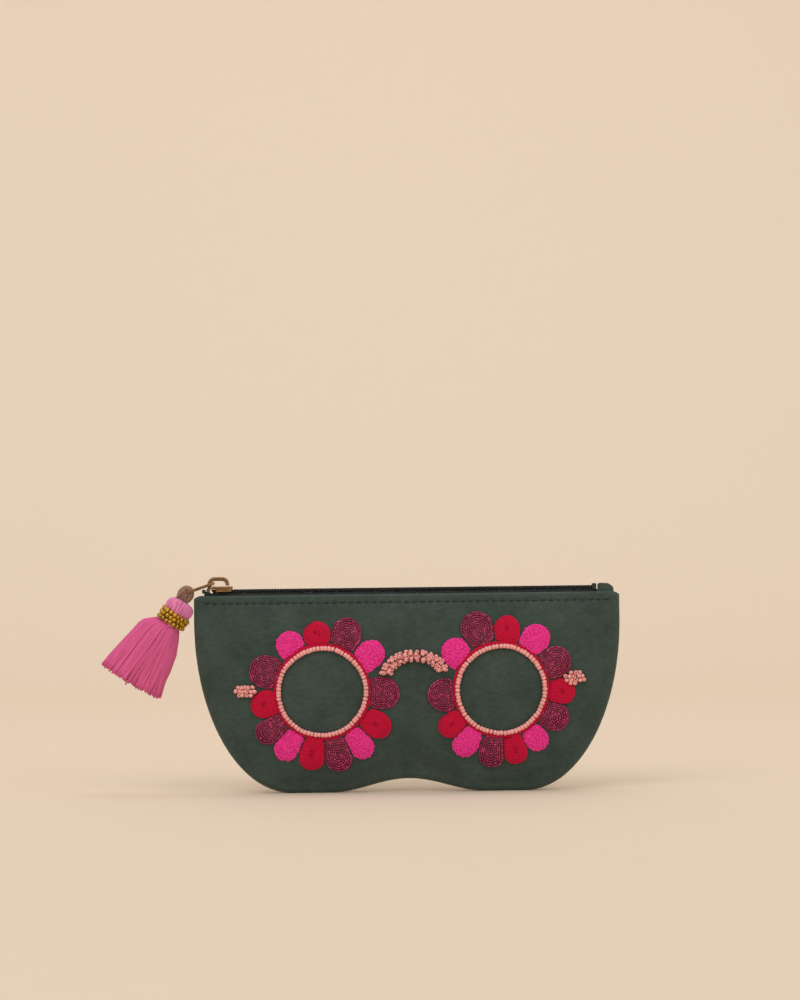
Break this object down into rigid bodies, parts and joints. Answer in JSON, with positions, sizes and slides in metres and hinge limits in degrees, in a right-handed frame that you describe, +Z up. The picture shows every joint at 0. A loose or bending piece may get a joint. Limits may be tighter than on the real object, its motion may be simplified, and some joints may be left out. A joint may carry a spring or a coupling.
{
  "type": "soft pouch glasses case",
  "caption": "Padded faux suede glasses pouch with a zipped mouth, flower-framed lens embroidery in beads and thread, and a beaded tassel on the zip puller.",
  "frame": {"origin": "bottom centre of the whole object's box, tassel included; the pouch's own middle is 22 mm to the right of it", "axes": "+X along the zip from its closed end to its open end, -Y the embroidered front, +Z up; the floor is z = 0"},
  "size_m": [0.2435, 0.0268, 0.1018],
  "materials": {
    "faux_suede": "matte napped faux suede",
    "padding": "soft wadding",
    "lining": "plain woven cotton",
    "zip_tape": "herringbone woven tape",
    "zip_coil": "nylon coil",
    "stitch_thread": "twisted polyester thread",
    "antique_brass": "antiqued, dark in the recesses",
    "knot_stitch_pink": "dense knot stitch",
    "chain_stitch_crimson": "spiral chain stitch",
    "beadwork_magenta": "couched rows of tiny glossy beads",
    "blush_beads": "opaque glossy seed beads",
    "loop_thread": "wound thread",
    "tassel_thread": "loose cotton threads",
    "gold_beads": "metallic gold seed beads"
  },
  "bodies": {
    "pouch_back": {"back_panel": "faux_suede", "back_padding": "padding", "back_lining": "lining", "back_zip_tape": "zip_tape", "back_zip_coil": "zip_coil", "back_topstitch": "stitch_thread", "zip_end_tab": "faux_suede", "zip_bottom_stop": "zip_coil", "back_top_stop": "zip_coil"},
    "pouch_front": {"front_panel": "faux_suede", "front_padding": "padding", "front_lining": "lining", "front_zip_tape": "zip_tape", "front_zip_coil": "zip_coil", "front_topstitch": "stitch_thread", "front_top_stop": "zip_coil", "left_petal_1": "knot_stitch_pink", "left_petal_2": "chain_stitch_crimson", "left_petal_3": "beadwork_magenta", "left_petal_4": "knot_stitch_pink", "left_petal_5": "beadwork_magenta", "left_petal_6": "chain_stitch_crimson", "left_petal_7": "knot_stitch_pink", "left_petal_8": "beadwork_magenta", "left_petal_9": "chain_stitch_crimson", "left_petal_10": "knot_stitch_pink", "left_petal_11": "beadwork_magenta", "left_petal_12": "chain_stitch_crimson", "left_petal_13": "beadwork_magenta", "right_petal_1": "knot_stitch_pink", "right_petal_2": "beadwork_magenta", "right_petal_3": "chain_stitch_crimson", "right_petal_4": "knot_stitch_pink", "right_petal_5": "beadwork_magenta", "right_petal_6": "chain_stitch_crimson", "right_petal_7": "beadwork_magenta", "right_petal_8": "knot_stitch_pink", "right_petal_9": "chain_stitch_crimson", "right_petal_10": "beadwork_magenta", "right_petal_11": "knot_stitch_pink", "right_petal_12": "chain_stitch_crimson", "right_petal_13": "beadwork_magenta", "left_petal_base": "chain_stitch_crimson", "right_petal_base": "chain_stitch_crimson", "left_lens_beads": "blush_beads", "right_lens_beads": "blush_beads", "nose_bridge_beads": "blush_beads", "left_temple_beads": "blush_beads", "right_temple_beads": "blush_beads"},
    "slider": {"slider_body": "antique_brass", "slider_bridge": "antique_brass"},
    "puller": {"puller": "antique_brass"},
    "tassel_loop": {"tassel_loop": "loop_thread"},
    "tassel": {"tassel_head": "tassel_thread", "tassel_collar_beads": "gold_beads", "tassel_skirt": "tassel_thread"}
  },
  "joints": [
    {"name": "zip_slide", "type": "slide", "parent": "pouch_back", "child": "slider", "axis": [1, 0, 0], "range_m": [0, 0.168], "deforming": ["back_zip_coil", "back_zip_tape", "tassel_loop", "tassel_head", "tassel_collar_beads", "tassel_skirt"]},
    {"name": "mouth_gape", "type": "hinge", "parent": "pouch_back", "child": "pouch_front", "pos_m": [0.0218, -0.0007, 0], "axis": [1, 0, 0], "range_deg": [0, 11.5], "deforming": ["front_zip_coil", "front_zip_tape"]},
    {"name": "puller_flip", "type": "hinge", "parent": "slider", "child": "puller", "pos_m": [-0.0692, 0.0023, 0.0987], "axis": [0, 1, 0], "range_deg": [0, 155]},
    {"name": "tassel_swing", "type": "hinge", "parent": "puller", "child": "tassel_loop", "pos_m": [-0.08181, 0.0023, 0.09448], "axis": [0, 1, 0], "range_deg": [0, 71]},
    {"name": "tassel_sway", "type": "hinge", "parent": "tassel_loop", "child": "tassel", "pos_m": [-0.08398, 0.0023, 0.09078], "axis": [0.8358, 0, -0.549], "range_deg": [-35, 35], "deforming": ["tassel_head", "tassel_collar_beads", "tassel_skirt"]}
  ],
  "couplings": [
    {"joint": "mouth_gape", "follows": "zip_slide", "rad_per_m": 1.1895},
    {"joint": "puller_flip", "follows": "zip_slide", "rad_per_m": 16.092},
    {"joint": "tassel_swing", "follows": "zip_slide", "rad_per_m": 7.3657}
  ]
}
